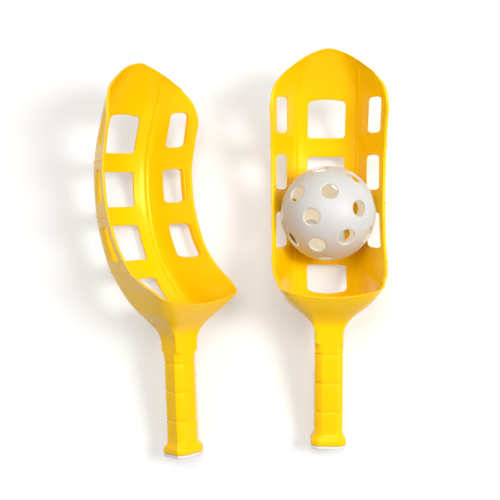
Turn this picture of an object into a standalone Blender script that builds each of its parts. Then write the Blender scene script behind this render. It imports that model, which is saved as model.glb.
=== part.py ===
"""Scoop ball set: two hand scoops with a perforated ball lying in one of them.

Sizes are in millimetres and are turned into metres where the meshes are made.
Each scoop is drawn in its own axes: X across, Y from the handle's end to the
tip, Z from the back of the trough to its open front.
"""
import math

import bmesh
import bpy
from mathutils import Euler, Matrix, Vector
from mathutils.bvhtree import BVHTree

MM = 0.001

# walls and fits
WALL = 2.4
FIT_GAP = 0.3

# handle: a rectangle with its four long edges cut off up to an arch
HANDLE_WIDTH = 23.8
HANDLE_DEPTH = 21.2
CHAMFER_ACROSS = 5.8
CHAMFER_DEEP = 4.1
CHAMFER_TOP = 88.0
CHAMFER_ARCH = 6.5
HANDLE_LENGTH = 98.0
NECK_EDGE = 0.9
BORE_LENGTH = 101.0

# grip grooves round the handle
GROOVE_FIRST = 28.4
GROOVE_PITCH = 24.9
GROOVE_COUNT = 3
GROOVE_WIDTH = 2.2
GROOVE_DEPTH = 0.6

# flared end of the handle and the cap that closes it
FLANGE_OUT = 2.9
FLANGE_STRAIGHT = 3.4
FLANGE_FLARE = 6.4
CAP_THICKNESS = 2.6
CAP_INSET = 0.4
PLUG_DEPTH = 8.0
PLUG_WALL = 1.6

# lines along the lofted body: distance from the handle's top end, then X and Z
HALF_W = HANDLE_WIDTH / 2
HALF_D = HANDLE_DEPTH / 2
BACK_LINE = [(0, -HALF_D), (7, -HALF_D - 1.0), (14, -16.8), (24, -27.0), (34, -39.0),
             (51, -53.4), (68, -62.4), (92, -72.6), (117, -78.6), (137, -79.2),
             (165, -75.9), (199, -63.7), (212, -57.8), (225, -50.5), (235, -44.0),
             (242.4, -38.8), (252, -32.6)]
CREASE_LINE = [(0, HALF_W, -HALF_D), (7, HALF_W + 3.1, -HALF_D - 0.9), (14, 21.2, -16.2),
               (24, 31.0, -24.4), (34, 31.4, -36.6), (51, 31.4, -49.0),
               (68, 31.3, -59.2), (99, 31.0, -69.8), (134, 31.0, -73.2),
               (166, 29.6, -71.0), (199, 27.6, -60.2), (212, 26.4, -54.2), (225, 21.6, -47.0),
               (233, 15.6, -43.2), (238.5, 11.5, -40.8), (242.4, 9.0, -38.2), (252, 8.4, -32.0)]
RIM_LINE = [(36.4, 30.5, 36.5), (45, 45.2, 23.5), (57, 48.9, 4.2), (68, 49.2, -7.4),
            (82, 49.4, -17.2), (99, 49.7, -24.2), (117, 50.0, -29.2), (134, 50.3, -30.9),
            (152, 50.5, -30.6), (177, 50.8, -24.0), (192, 51.3, -20.2), (208.2, 48.5, -23.6),
            (217.5, 42.6, -28.5), (224.2, 35.4, -33.1), (233, 23.8, -36.5), (238.5, 24.0, -33.4),
            (242.4, 24.0, -31.6), (252, 24.0, -25.4)]
FRONT_LINE = [(0, HALF_D), (7, HALF_D + 1.0), (14, 17.0), (24, 27.2), (32, 33.6),
              (45, 38.5), (58, 42.0), (80, 42.0), (120, 36.0), (252, 36.0)]
SHOULDER_LINE = [(0, HALF_W, HALF_D), (7, HALF_W + 3.1, HALF_D + 1.0), (14, 21.4, 17.0),
                 (24, 35.2, 28.4), (34, 42.2, 36.4), (45, 48.2, 38.0)]
ROUNDING_LINE = [(0, NECK_EDGE), (7, 1.8), (14, 8.0), (24, 20.0), (34, 18.0), (41, 15.0),
                 (51, 11.0), (68, 8.0), (134, 7.0), (199, 7.0), (225, 8.0), (233, 6.5),
                 (242.4, 5.0), (252, 4.0)]
BODY_LENGTH = 250.0
LIP_ARC = [(0.0, 32.2), (13.0, 32.9), (30.5, 36.4), (40.0, 40.4), (46.0, 45.0)]
TIP_ARC = [(-14.4, 238.5), (0.0, 242.4), (14.4, 238.5), (23.8, 233.0), (35.4, 224.2),
           (42.6, 217.5), (48.5, 208.2), (50.4, 203.0), (51.6, 199.0)]
LIP_CUT_Z = 22.0
TIP_LIFT = 4.4
TIP_LIFT_RUN = 30.0
BOWL_START = 14.0
LIP_REACH = 85.2
WALL_REACH = 78.0
REACH_RUN = 30.0
OPEN_ROUNDING = 14.0
CLEAR = 60.0

# windows cut straight from front to back, in rows along the trough
WINDOW_CORNER = 3.0
CENTRE_FIRST = 67.6
CENTRE_PITCH = 49.0
CENTRE_LENGTH = 31.8
CENTRE_HALF_WIDTH = 16.9
CENTRE_ROWS = 3
TOP_WINDOW_ARCH = 2.2
LOWER_START = 30.0
LOWER_LENGTH = 21.0
LOWER_HALF_WIDTH = 17.5
LOWER_BOW = 2.4
SIDE_FIRST = 68.6
SIDE_PITCH = 50.4
SIDE_LENGTH = 30.8
SIDE_INNER = 36.2
SIDE_OUTER = 45.2
SIDE_ROWS = 3

# thin ribs across the back, one behind each cross-bar
RIB_WIDTH = 1.6
RIB_HEIGHT = 1.0

# ball
BALL_RADIUS = 41.6
BALL_WALL = 2.2
BALL_HOLE = 14.4
POLE_RING_TILT = 36.5
POLE_RING_HOLES = 4
BELT_TILT = 70.0
BELT_HOLES = 8
BALL_TURN = (2.5, 57.3, -102.0)
BALL_ALONG = 107.2

# places of the scoops on the ground: X, Y of the handle's end, heading, roll
RIGHT_PLACE = (68.0, 0.0, 0.0, 3.0)
LEFT_PLACE = (-56.8, -10.7, 2.6, 48.6)

# mesh fineness
FLOOR_STEPS = 3
ROUND_STEPS = 3
WALL_STEPS = 4
FRONT_STEPS = 2
ROW_STEP = 9.6
NECK_STEP = 4.5


def line_at(line, y):
    """Value of a line at y: a smooth curve through its points, straight past both ends."""
    if y <= line[0][0]:
        low, high = 0, 1
    elif y >= line[-1][0]:
        low, high = len(line) - 2, len(line) - 1
    else:
        high = next(i for i in range(1, len(line)) if y <= line[i][0])
        low = high - 1
    span = line[high][0] - line[low][0]
    t = (y - line[low][0]) / span
    values = []
    for k in range(1, len(line[0])):
        def slope(i):
            a = max(i - 1, 0)
            b = min(i + 1, len(line) - 1)
            return (line[b][k] - line[a][k]) / (line[b][0] - line[a][0])
        if 0 <= t <= 1:
            h00 = 2 * t ** 3 - 3 * t ** 2 + 1
            h10 = t ** 3 - 2 * t ** 2 + t
            h01 = 3 * t ** 2 - 2 * t ** 3
            h11 = t ** 3 - t ** 2
            values.append(h00 * line[low][k] + h10 * span * slope(low)
                          + h01 * line[high][k] + h11 * span * slope(high))
        else:
            values.append(line[low][k] + (line[high][k] - line[low][k]) * t)
    return values if len(values) > 1 else values[0]


def corner_points(before, corner, after, cut_a, cut_b, curved):
    """Points across a corner, as a straight chamfer or a round of the same set-back."""
    start = corner + (before - corner).normalized() * cut_a
    end = corner + (after - corner).normalized() * cut_b
    points = []
    for i in range(ROUND_STEPS + 1):
        t = i / ROUND_STEPS
        if curved:
            points.append(start * (1 - t) ** 2 + corner * 2 * t * (1 - t) + end * t ** 2)
        else:
            points.append(start.lerp(end, t))
    return points


def half_section(back, crease, front, shoulder, low_cut, high_cut, curved):
    """Half of one closed section, from the back's middle round to the front's middle."""
    back = Vector((0, back))
    front = Vector((0, front))
    crease = Vector(crease)
    shoulder = Vector(shoulder)
    floor_side = Vector((crease.x - 1, crease.y - 2 * (crease.y - back.y) / crease.x))
    top_side = Vector((shoulder.x - 1, shoulder.y + 2 * (front.y - shoulder.y) / shoulder.x))
    low = corner_points(floor_side, crease, shoulder, low_cut[0], low_cut[1], curved)
    high = corner_points(crease, shoulder, top_side, high_cut[1], high_cut[0], curved)
    points = []
    for i in range(FLOOR_STEPS):
        t = i / FLOOR_STEPS
        x = low[0].x * t
        points.append(Vector((x, back.y + (low[0].y - back.y) * t ** 2)))
    points += low
    for i in range(1, WALL_STEPS):
        points.append(low[-1].lerp(high[0], i / WALL_STEPS))
    points += high
    for i in range(1, FRONT_STEPS + 1):
        t = 1 - i / FRONT_STEPS
        points.append(Vector((high[-1].x * t, front.y + (high[-1].y - front.y) * t ** 2)))
    return points


def loop_at(half, y):
    """Closed loop of 3-D points from half a section."""
    right = [Vector((p.x, y, p.y)) for p in half]
    left = [Vector((-p.x, y, p.y)) for p in half[1:-1]]
    return right + left[::-1]


def handle_loop(y, grow, across, deep):
    """Loop of the handle at y, grown by a border and with its edges cut off."""
    w = HALF_W + grow
    d = HALF_D + grow
    cut = (across, deep)
    return loop_at(half_section(-d, (w, -d), d, (w, d), cut, cut, False), y)


def body_loop(s):
    """Loop of the lofted body at the distance s from the handle's top end."""
    back = line_at(BACK_LINE, s)
    crease = line_at(CREASE_LINE, s)
    rounding = line_at(ROUNDING_LINE, s)
    front = line_at(FRONT_LINE, s)
    if s <= SHOULDER_LINE[-1][0]:
        shoulder = line_at(SHOULDER_LINE, s)
    else:
        rim = Vector(line_at(RIM_LINE, s))
        share = min((s - SHOULDER_LINE[-1][0]) / REACH_RUN, 1)
        reach = LIP_REACH + (WALL_REACH - LIP_REACH) * share
        shoulder = Vector(crease) + (rim - Vector(crease)).normalized() * reach
    high = rounding if s < LIP_ARC[0][1] else max(rounding, OPEN_ROUNDING)
    half = half_section(back, crease, front, shoulder, (rounding, rounding), (high, high), True)
    return loop_at(half, HANDLE_LENGTH + s)


def steps_between(start, end, step):
    count = max(1, round((end - start) / step))
    return [start + (end - start) * i / count for i in range(1, count + 1)]


def chamfer_share(y):
    """How much of the chamfer is left at y: all of it, then an arch, then none."""
    t = (y - CHAMFER_TOP + CHAMFER_ARCH) / CHAMFER_ARCH
    return math.sqrt(max(0.0, 1 - max(0.0, t) ** 2))


def outer_loops():
    """Loops of the whole outside, from the handle's end past the tip."""
    rows = [(0.0, FLANGE_OUT), (FLANGE_STRAIGHT, FLANGE_OUT)]
    for i in range(1, 4):
        t = i / 3
        rows.append((FLANGE_STRAIGHT + FLANGE_FLARE * t,
                     FLANGE_OUT * 0.5 * (1 + math.cos(math.pi * t))))
    for i in range(GROOVE_COUNT):
        middle = GROOVE_FIRST + GROOVE_PITCH * i
        rows += [(middle - GROOVE_WIDTH / 2, 0), (middle - GROOVE_WIDTH / 5, -GROOVE_DEPTH),
                 (middle + GROOVE_WIDTH / 5, -GROOVE_DEPTH), (middle + GROOVE_WIDTH / 2, 0)]
    arch_start = CHAMFER_TOP - CHAMFER_ARCH
    rows += [(arch_start + CHAMFER_ARCH * math.sin(math.radians(a)), 0)
             for a in (0, 22, 42, 60, 75, 90)]
    loops = []
    for y, grow in rows:
        share = chamfer_share(y)
        across = NECK_EDGE + (CHAMFER_ACROSS - NECK_EDGE) * share
        deep = NECK_EDGE + (CHAMFER_DEEP - NECK_EDGE) * share
        loops.append(handle_loop(y, grow, across, deep))
    for s in body_rows():
        loops.append(body_loop(s))
    return loops


def body_rows():
    lip = SHOULDER_LINE[-1][0]
    return [0.0] + steps_between(0, lip, NECK_STEP) + steps_between(lip, BODY_LENGTH, ROW_STEP)


def core_loops():
    """Loops of the hollow: the outside moved inwards by the wall, from the bowl on."""
    rows = body_rows()
    grid = [body_loop(s) for s in rows]
    count = len(grid[0])
    loops = []
    for i, s in enumerate(rows):
        if s < BOWL_START:
            continue
        loop = []
        for j in range(count):
            along = grid[min(i + 1, len(rows) - 1)][j] - grid[i - 1][j]
            around = grid[i][(j + 1) % count] - grid[i][j - 1]
            inward = around.cross(along).normalized()
            loop.append(grid[i][j] + inward * WALL)
        loops.append(loop)
    first = loops[0]
    middle = sum(first, Vector()) / count
    for share, drop in ((0.86, 1.4), (0.55, 2.4)):
        loops.insert(0, [middle.lerp(p, share) - Vector((0, drop, 0)) for p in first])
    return loops


def new_collection(name):
    collection = bpy.data.collections.new(name)
    bpy.context.scene.collection.children.link(collection)
    return collection


def make_object(name, bm, collection, material=None):
    mesh = bpy.data.meshes.new(name)
    bm.to_mesh(mesh)
    bm.free()
    obj = bpy.data.objects.new(name, mesh)
    collection.objects.link(obj)
    if material:
        mesh.materials.append(material)
    else:
        obj.hide_render = True
        obj.display_type = "WIRE"
    return obj


def lofted(loops):
    """Closed solid through a list of loops with the same number of points."""
    bm = bmesh.new()
    rings = [[bm.verts.new(p * MM) for p in loop] for loop in loops]
    count = len(rings[0])
    for low, high in zip(rings, rings[1:]):
        for j in range(count):
            bm.faces.new((low[j], low[(j + 1) % count], high[(j + 1) % count], high[j]))
    bm.faces.new(rings[0][::-1])
    bm.faces.new(rings[-1])
    bmesh.ops.recalc_face_normals(bm, faces=bm.faces)
    if bm.calc_volume(signed=True) < 0:
        bmesh.ops.reverse_faces(bm, faces=bm.faces)
    return bm


def add_prism(bm, outline, low, high, axis):
    """Adds a closed prism: an outline in a plane, drawn out along Z or along X."""
    if axis == "Z":
        ends = [[Vector((a, b, c)) for a, b in outline] for c in (low, high)]
    else:
        ends = [[Vector((c, a, b)) for a, b in outline] for c in (low, high)]
    rings = [[bm.verts.new(p * MM) for p in end] for end in ends]
    count = len(outline)
    faces = [bm.faces.new((rings[0][j], rings[0][(j + 1) % count],
                           rings[1][(j + 1) % count], rings[1][j])) for j in range(count)]
    faces += [bm.faces.new(rings[0][::-1]), bm.faces.new(rings[1])]
    bmesh.ops.recalc_face_normals(bm, faces=faces)


def window_outline(x0, x1, y0, y1, top_arch=0.0, low_bow=0.0):
    """Rounded window outline, its top edge arched up and its low edge bowed down."""
    corner = min(WINDOW_CORNER, (x1 - x0) / 2.2, (y1 - y0) / 2.2)
    middle = (x0 + x1) / 2
    half = (x1 - x0) / 2
    points = []
    centres = ((x1 - corner, y1 - corner, 0), (x0 + corner, y1 - corner, 90),
               (x0 + corner, y0 + corner, 180), (x1 - corner, y0 + corner, 270))
    for cx, cy, start in centres:
        for i in range(3):
            a = math.radians(start + 45 * i)
            points.append((cx + corner * math.cos(a), cy + corner * math.sin(a)))
        if start == 0 and top_arch:
            points += [(middle + half * k, y1) for k in (0.4, 0.0, -0.4)]
        if start == 180 and low_bow:
            points += [(middle + half * k, y0) for k in (-0.4, 0.0, 0.4)]
    bent = []
    for x, y in points:
        share = 1 - ((x - middle) / half) ** 2
        if y > (y0 + y1) / 2:
            y += top_arch * share
        else:
            y -= low_bow * share
        bent.append((x, y))
    return bent


def opening_cutter(collection):
    """What lies outside the rim: above the lip and the rim's side view, and past the tip."""
    base = HANDLE_LENGTH
    wide = 2 * CLEAR
    far = base + BODY_LENGTH + CLEAR
    lip = [(x, base + s) for x, s in LIP_ARC]
    lip += [(wide, lip[-1][1]), (wide, far)]
    tip = [(x, base + line_at(TIP_ARC, x)) for x in
           [0.0] + steps_between(0, TIP_ARC[-1][0], 5.0)]
    tip += [(wide, tip[-1][1]), (wide, far)]
    for outline in (lip, tip):
        outline += [(-x, y) for x, y in outline[:0:-1]]
    start = RIM_LINE[0][0]
    end = TIP_ARC[1][1]
    side = []
    for s in [start] + steps_between(start, end, 5.5):
        lift = TIP_LIFT * min(max((s - TIP_ARC[-1][1]) / TIP_LIFT_RUN, 0), 1)
        side.append((base + s, line_at(RIM_LINE, s)[1] + lift))
    side += [(far, side[-1][1]), (far, 2 * CLEAR), (base + start, 2 * CLEAR)]
    cutters = []
    for name, outline, low, high, axis in (("lip_cutter", lip, LIP_CUT_Z, wide, "Z"),
                                           ("rim_cutter", side, -wide, wide, "X"),
                                           ("tip_cutter", tip, -wide, wide, "Z")):
        block = bmesh.new()
        add_prism(block, outline, low, high, axis)
        cutters.append(make_object(name, block, collection))
    return cutters


def window_cutter(collection):
    base = HANDLE_LENGTH
    low = -2 * CLEAR
    bm = bmesh.new()
    for i in range(CENTRE_ROWS):
        y0 = base + CENTRE_FIRST + CENTRE_PITCH * i
        arch = TOP_WINDOW_ARCH if i == CENTRE_ROWS - 1 else 0.0
        add_prism(bm, window_outline(-CENTRE_HALF_WIDTH, CENTRE_HALF_WIDTH, y0,
                                     y0 + CENTRE_LENGTH, arch), low, CLEAR, "Z")
    y0 = base + LOWER_START
    add_prism(bm, window_outline(-LOWER_HALF_WIDTH, LOWER_HALF_WIDTH, y0, y0 + LOWER_LENGTH,
                                 0.0, LOWER_BOW), low, -5.0, "Z")
    for side in (1, -1):
        for i in range(SIDE_ROWS):
            y0 = base + SIDE_FIRST + SIDE_PITCH * i
            outline = window_outline(SIDE_INNER, SIDE_OUTER, y0, y0 + SIDE_LENGTH)
            add_prism(bm, [(side * x, y) for x, y in outline], low, CLEAR, "Z")
    return make_object("window_cutter", bm, collection)


def bore_cutter(collection):
    """The handle's hollow, open at the handle's end and blind at the neck."""
    loops = []
    corner = (CHAMFER_ACROSS - WALL * 0.4, CHAMFER_DEEP - WALL * 0.4)
    for y in (-CLEAR / 10, BORE_LENGTH):
        loops.append(handle_loop(y, -WALL, *corner))
    return make_object("bore_cutter", lofted(loops), collection)


def boolean(target, cutter, operation):
    modifier = target.modifiers.new(cutter.name, "BOOLEAN")
    modifier.operation = operation
    modifier.solver = "EXACT"
    modifier.object = cutter


def bake(obj):
    """Replaces the mesh by its evaluated one, so that copies can share it."""
    depsgraph = bpy.context.evaluated_depsgraph_get()
    depsgraph.update()
    mesh = bpy.data.meshes.new_from_object(obj.evaluated_get(depsgraph))
    mesh.name = obj.name
    obj.modifiers.clear()
    obj.data = mesh
    return obj


def merge_flats(mesh, limit):
    """Joins the flat faces of the handle, which the loft cut into strips."""
    bm = bmesh.new()
    bm.from_mesh(mesh)
    faces = [f for f in bm.faces if all(v.co.y < limit * MM for v in f.verts)]
    edges = list({e for f in faces for e in f.edges})
    verts = list({v for f in faces for v in f.verts})
    bmesh.ops.dissolve_limit(bm, angle_limit=math.radians(0.2), verts=verts, edges=edges)
    bm.to_mesh(mesh)
    bm.free()


def smooth(mesh, angle):
    for polygon in mesh.polygons:
        polygon.use_smooth = True
    mesh.set_sharp_from_angle(angle=math.radians(angle))


def plastic(name, colour, roughness):
    material = bpy.data.materials.new(name)
    material.use_nodes = True
    shader = material.node_tree.nodes["Principled BSDF"]
    shader.inputs["Base Color"].default_value = (*colour, 1)
    shader.inputs["Roughness"].default_value = roughness
    shader.inputs["Metallic"].default_value = 0.0
    return material


def build_scoop_mesh(parts, cutters, material):
    """The one-piece scoop: outside, less the hollow, the opening, windows and bore."""
    scoop = make_object("right_scoop", lofted(outer_loops()), parts, material)
    ribs = bmesh.new()
    for i in range(CENTRE_ROWS):
        middle = CENTRE_FIRST - (CENTRE_PITCH - CENTRE_LENGTH) / 2 + CENTRE_PITCH * i
        rings = []
        for s in (middle - RIB_WIDTH / 2, middle + RIB_WIDTH / 2):
            loop = body_loop(s)
            count = len(loop)
            ring = []
            for j in range(count):
                around = loop[(j + 1) % count] - loop[j - 1]
                out = Vector((around.z, 0, -around.x)).normalized()
                ring.append(ribs.verts.new((loop[j] + out * RIB_HEIGHT) * MM))
            rings.append(ring)
        count = len(rings[0])
        faces = [ribs.faces.new((rings[0][j], rings[0][(j + 1) % count],
                                 rings[1][(j + 1) % count], rings[1][j]))
                 for j in range(count)]
        faces += [ribs.faces.new(rings[0][::-1]), ribs.faces.new(rings[1])]
    bmesh.ops.recalc_face_normals(ribs, faces=ribs.faces)
    ribs = make_object("rib_bands", ribs, cutters)
    boolean(scoop, ribs, "UNION")
    core = make_object("core_cutter", lofted(core_loops()), cutters)
    boolean(scoop, core, "DIFFERENCE")
    for cutter in opening_cutter(cutters):
        boolean(scoop, cutter, "DIFFERENCE")
    boolean(scoop, window_cutter(cutters), "DIFFERENCE")
    boolean(scoop, bore_cutter(cutters), "DIFFERENCE")
    bake(scoop)
    merge_flats(scoop.data, HANDLE_LENGTH)
    smooth(scoop.data, 32)
    return scoop


def build_cap_mesh(parts, material):
    """End cap: a plate over the flange and a hollow plug inside the bore."""
    grow = FLANGE_OUT - CAP_INSET
    plug = -WALL - FIT_GAP
    corner = (CHAMFER_ACROSS, CHAMFER_DEEP)
    inner = (CHAMFER_ACROSS - WALL * 0.4, CHAMFER_DEEP - WALL * 0.4)
    loops = [handle_loop(-FIT_GAP - CAP_THICKNESS, grow - 0.6, *corner),
             handle_loop(-FIT_GAP - CAP_THICKNESS + 0.6, grow, *corner),
             handle_loop(-FIT_GAP, grow, *corner),
             handle_loop(-FIT_GAP, plug, *inner),
             handle_loop(PLUG_DEPTH, plug, *inner),
             handle_loop(PLUG_DEPTH, plug - PLUG_WALL, *inner),
             handle_loop(0.0, plug - PLUG_WALL, *inner)]
    cap = make_object("right_end_cap", lofted(loops), parts, material)
    merge_flats(cap.data, HANDLE_LENGTH)
    smooth(cap.data, 32)
    return cap


def hole_directions():
    """Middles of the ball's holes: a pole, a ring round it and a belt, in each half."""
    directions = []
    for half in (1, -1):
        turn = 0.0 if half == 1 else 180 / BELT_HOLES
        directions.append(Vector((0, 0, half)))
        for count, tilt, offset in ((POLE_RING_HOLES, POLE_RING_TILT, 180 / BELT_HOLES),
                                    (BELT_HOLES, BELT_TILT, 0.0)):
            for i in range(count):
                a = math.radians(turn + offset + 360 * i / count)
                t = math.radians(tilt)
                directions.append(Vector((math.sin(t) * math.cos(a),
                                          math.sin(t) * math.sin(a), half * math.cos(t))))
    return directions


def build_ball(parts, cutters, material):
    """Thin hollow ball with round holes through its wall."""
    bm = bmesh.new()
    bmesh.ops.create_icosphere(bm, subdivisions=3, radius=BALL_RADIUS * MM)
    ball = make_object("ball", bm, parts, material)
    shell = ball.modifiers.new("wall", "SOLIDIFY")
    shell.thickness = BALL_WALL * MM
    shell.offset = -1
    holes = bmesh.new()
    for direction in hole_directions():
        turn = direction.to_track_quat("Z", "Y").to_matrix().to_4x4()
        place = Matrix.Translation(direction * BALL_RADIUS * MM)
        bmesh.ops.create_cone(holes, cap_ends=True, segments=16, radius1=BALL_HOLE / 2 * MM,
                              radius2=BALL_HOLE / 2 * MM, depth=BALL_RADIUS * 0.5 * MM,
                              matrix=place @ turn)
    boolean(ball, make_object("hole_cutter", holes, cutters), "DIFFERENCE")
    bake(ball)
    smooth(ball.data, 30)
    return ball


def settle(holder, pieces, place):
    """Lays a scoop on the ground on its handle's end and its trough, at a given roll."""
    x, y, heading, roll = place
    points = [v.co for piece in pieces for v in piece.data.vertices]
    handle = [p for p in points if p.y < HANDLE_LENGTH * MM / 2]
    trough = [p for p in points if p.y >= HANDLE_LENGTH * MM / 2]

    def lowest(group, pitch):
        turn = Euler((pitch, math.radians(roll), 0), "YXZ").to_matrix()
        return min(turn[2][0] * p.x + turn[2][1] * p.y + turn[2][2] * p.z for p in group)

    low, high = 0.0, math.radians(40)
    for _ in range(40):
        pitch = (low + high) / 2
        if lowest(trough, pitch) < lowest(handle, pitch):
            low = pitch
        else:
            high = pitch
    holder.rotation_mode = "YXZ"
    holder.rotation_euler = (pitch, math.radians(roll), math.radians(heading))
    holder.location = (x * MM, y * MM, -lowest(points, pitch))


def seat_ball(ball, scoop, along):
    """Lowers the ball into the trough until it is the fit gap away from the walls."""
    bpy.context.view_layer.update()
    matrix = scoop.matrix_world
    tree = BVHTree.FromPolygons([matrix @ v.co for v in scoop.data.vertices],
                                [list(p.vertices) for p in scoop.data.polygons])
    start = matrix @ Vector((0, (HANDLE_LENGTH + along) * MM, 0))

    def rest_height(x):
        low, high = start.z - BALL_RADIUS * 2 * MM, start.z + BALL_RADIUS * 2 * MM
        for _ in range(40):
            z = (low + high) / 2
            if tree.find_nearest(Vector((x, start.y, z)))[3] < (BALL_RADIUS + FIT_GAP) * MM:
                low = z
            else:
                high = z
        return high

    left, right = start.x - 12 * MM, start.x + 12 * MM
    for _ in range(30):
        a = left + (right - left) / 3
        b = right - (right - left) / 3
        if rest_height(a) < rest_height(b):
            right = b
        else:
            left = a
    x = (left + right) / 2
    return Vector((x, start.y, rest_height(x)))


def empty(name, collection, parent=None):
    obj = bpy.data.objects.new(name, None)
    collection.objects.link(obj)
    obj.parent = parent
    return obj


def copy_of(obj, name, collection):
    other = bpy.data.objects.new(name, obj.data.copy())
    other.data.name = name
    collection.objects.link(other)
    return other


def main():
    for obj in list(bpy.data.objects):
        bpy.data.objects.remove(obj, do_unlink=True)
    parts = new_collection("scoop_ball_set")
    cutters = new_collection("cutters")
    yellow = plastic("yellow_plastic", (0.93, 0.62, 0.0), 0.28)
    white = plastic("cap_plastic", (0.72, 0.71, 0.68), 0.4)
    pale = plastic("ball_plastic", (0.83, 0.82, 0.79), 0.45)
    right_scoop = build_scoop_mesh(parts, cutters, yellow)
    right_cap = build_cap_mesh(parts, white)
    left_scoop = copy_of(right_scoop, "left_scoop", parts)
    left_scoop.data.materials[0] = plastic("yellow_plastic_left", (0.93, 0.62, 0.0), 0.28)
    left_cap = copy_of(right_cap, "left_end_cap", parts)
    left_cap.data.materials[0] = plastic("cap_plastic_left", (0.72, 0.71, 0.68), 0.4)
    ball = build_ball(parts, cutters, pale)
    ground = empty("set_on_ground", parts)
    for name, pieces, place in (("right_holder", (right_scoop, right_cap), RIGHT_PLACE),
                                ("left_holder", (left_scoop, left_cap), LEFT_PLACE)):
        holder = empty(name, parts, ground)
        for piece in pieces:
            piece.parent = holder
        settle(holder, pieces, place)
    ball.parent = ground
    ball.rotation_euler = [math.radians(a) for a in BALL_TURN]
    ball.location = seat_ball(ball, right_scoop, BALL_ALONG)
    bpy.context.view_layer.update()
    corners = [obj.matrix_world @ v.co for obj in parts.objects if obj.type == "MESH"
               for v in obj.data.vertices]
    low = [min(c[k] for c in corners) for k in range(3)]
    high = [max(c[k] for c in corners) for k in range(3)]
    ground.location = (-(low[0] + high[0]) / 2, -(low[1] + high[1]) / 2, -low[2])


main()
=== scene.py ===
"""Scoop ball set in a white studio: two yellow scoops and a perforated ball.

The scoops are drawn in their own axes, in millimetres, as in the CAD source: X
across, Y from the handle's end to the tip, Z from the back to the open front.
"""
import math

import bmesh
import bpy
from mathutils import Euler, Matrix, Vector


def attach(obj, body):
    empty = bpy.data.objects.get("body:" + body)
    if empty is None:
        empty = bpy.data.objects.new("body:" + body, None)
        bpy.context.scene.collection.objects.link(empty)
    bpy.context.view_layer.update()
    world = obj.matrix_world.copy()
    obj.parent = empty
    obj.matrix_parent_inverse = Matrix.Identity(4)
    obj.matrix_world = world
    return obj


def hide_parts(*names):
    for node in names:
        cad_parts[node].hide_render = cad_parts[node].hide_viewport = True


MM = 0.001

# walls and fits, as in the CAD source
WALL = 2.4
FIT_GAP = 0.3

# handle
HALF_W = 11.9
HALF_D = 10.6
CHAMFER_ACROSS = 5.8
CHAMFER_DEEP = 4.1
CHAMFER_TOP = 88.0
CHAMFER_ARCH = 6.5
HANDLE_LENGTH = 98.0
NECK_EDGE = 0.9
GROOVE_FIRST = 28.4
GROOVE_PITCH = 24.9
GROOVE_COUNT = 3
GROOVE_HALF = 1.1
GROOVE_DEPTH = 0.6
FLANGE_OUT = 2.9
FLANGE_STRAIGHT = 3.4
FLANGE_FLARE = 6.4
HANDLE_ROUND = 0.35
HANDLE_STEP = 6
FLARE_ROWS = 6
FACET_ANGLE = math.radians(22)
# the flange's rounded end and the groove's section: along the handle, then out of it
FLANGE_END = ((0.0, -0.5), (0.25, -0.12), (0.7, 0.0))
GROOVE_SHAPE = ((-1.0, 0.0), (-0.75, 0.12), (-0.5, 0.6), (-0.2, 1.0), (0.2, 1.0), (0.5, 0.6),
                (0.75, 0.12), (1.0, 0.0))
ARCH_TURNS = (0, 14, 28, 40, 51, 61, 70, 78, 85, 90)
NECK_ROWS = (90.5, 93.0, 95.5)

# end cap: how far its edges step up or down and in, then its plug
CAP_THICKNESS = 2.6
CAP_INSET = 0.4
CAP_FRONT = ((0.0, 2.2), (0.0, 0.75), (0.2, 0.3), (0.55, 0.06), (0.9, 0.0))
CAP_BACK = ((0.35, 0.0), (0.1, 0.08), (0.0, 0.35))
PLUG_DEPTH = 8.0
PLUG_CUT = 0.4

# lines along the body: distance from the handle's top end, then X and Z
BACK_LINE = [(0, -HALF_D), (7, -HALF_D - 1.0), (14, -16.8), (24, -27.0), (34, -39.0),
             (51, -53.4), (68, -62.4), (92, -72.6), (117, -78.6), (137, -79.2),
             (165, -75.9), (199, -63.7), (212, -57.8), (225, -50.5), (235, -44.0),
             (242.4, -38.8), (252, -32.6)]
CREASE_LINE = [(0, HALF_W, -HALF_D), (7, HALF_W + 3.1, -HALF_D - 0.9), (14, 21.2, -16.2),
               (24, 31.0, -24.4), (34, 31.4, -36.6), (51, 31.4, -49.0),
               (68, 31.3, -59.2), (99, 31.0, -69.8), (134, 31.0, -73.2),
               (166, 29.6, -71.0), (199, 27.6, -60.2), (212, 26.4, -54.2), (225, 21.6, -47.0),
               (233, 15.6, -43.2), (238.5, 11.5, -40.8), (242.4, 9.0, -38.2), (252, 8.4, -32.0)]
RIM_LINE = [(36.4, 30.5, 36.5), (45, 45.2, 23.5), (57, 48.9, 4.2), (68, 49.2, -7.4),
            (82, 49.4, -17.2), (99, 49.7, -24.2), (117, 50.0, -29.2), (134, 50.3, -30.9),
            (152, 50.5, -30.6), (177, 50.8, -24.0), (192, 51.3, -20.2), (208.2, 48.5, -23.6),
            (217.5, 42.6, -28.5), (224.2, 35.4, -33.1), (233, 23.8, -36.5), (238.5, 24.0, -33.4),
            (242.4, 24.0, -31.6), (252, 24.0, -25.4)]
FRONT_LINE = [(0, HALF_D), (7, HALF_D + 1.0), (14, 17.0), (24, 27.2), (32, 33.6),
              (45, 38.5), (58, 42.0), (80, 42.0), (120, 36.0), (252, 36.0)]
SHOULDER_LINE = [(0, HALF_W, HALF_D), (7, HALF_W + 3.1, HALF_D + 1.0), (14, 21.4, 17.0),
                 (24, 35.2, 28.4), (34, 42.2, 36.4), (45, 48.2, 38.0)]
ROUNDING_LINE = [(0, NECK_EDGE), (7, 1.8), (14, 8.0), (24, 20.0), (34, 18.0), (41, 15.0),
                 (51, 11.0), (68, 8.0), (134, 7.0), (199, 7.0), (225, 8.0), (233, 6.5),
                 (242.4, 5.0), (252, 4.0)]
LIP_ARC = [(0.0, 32.2), (13.0, 32.9), (30.5, 36.4), (40.0, 40.4), (46.0, 45.0)]
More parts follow.
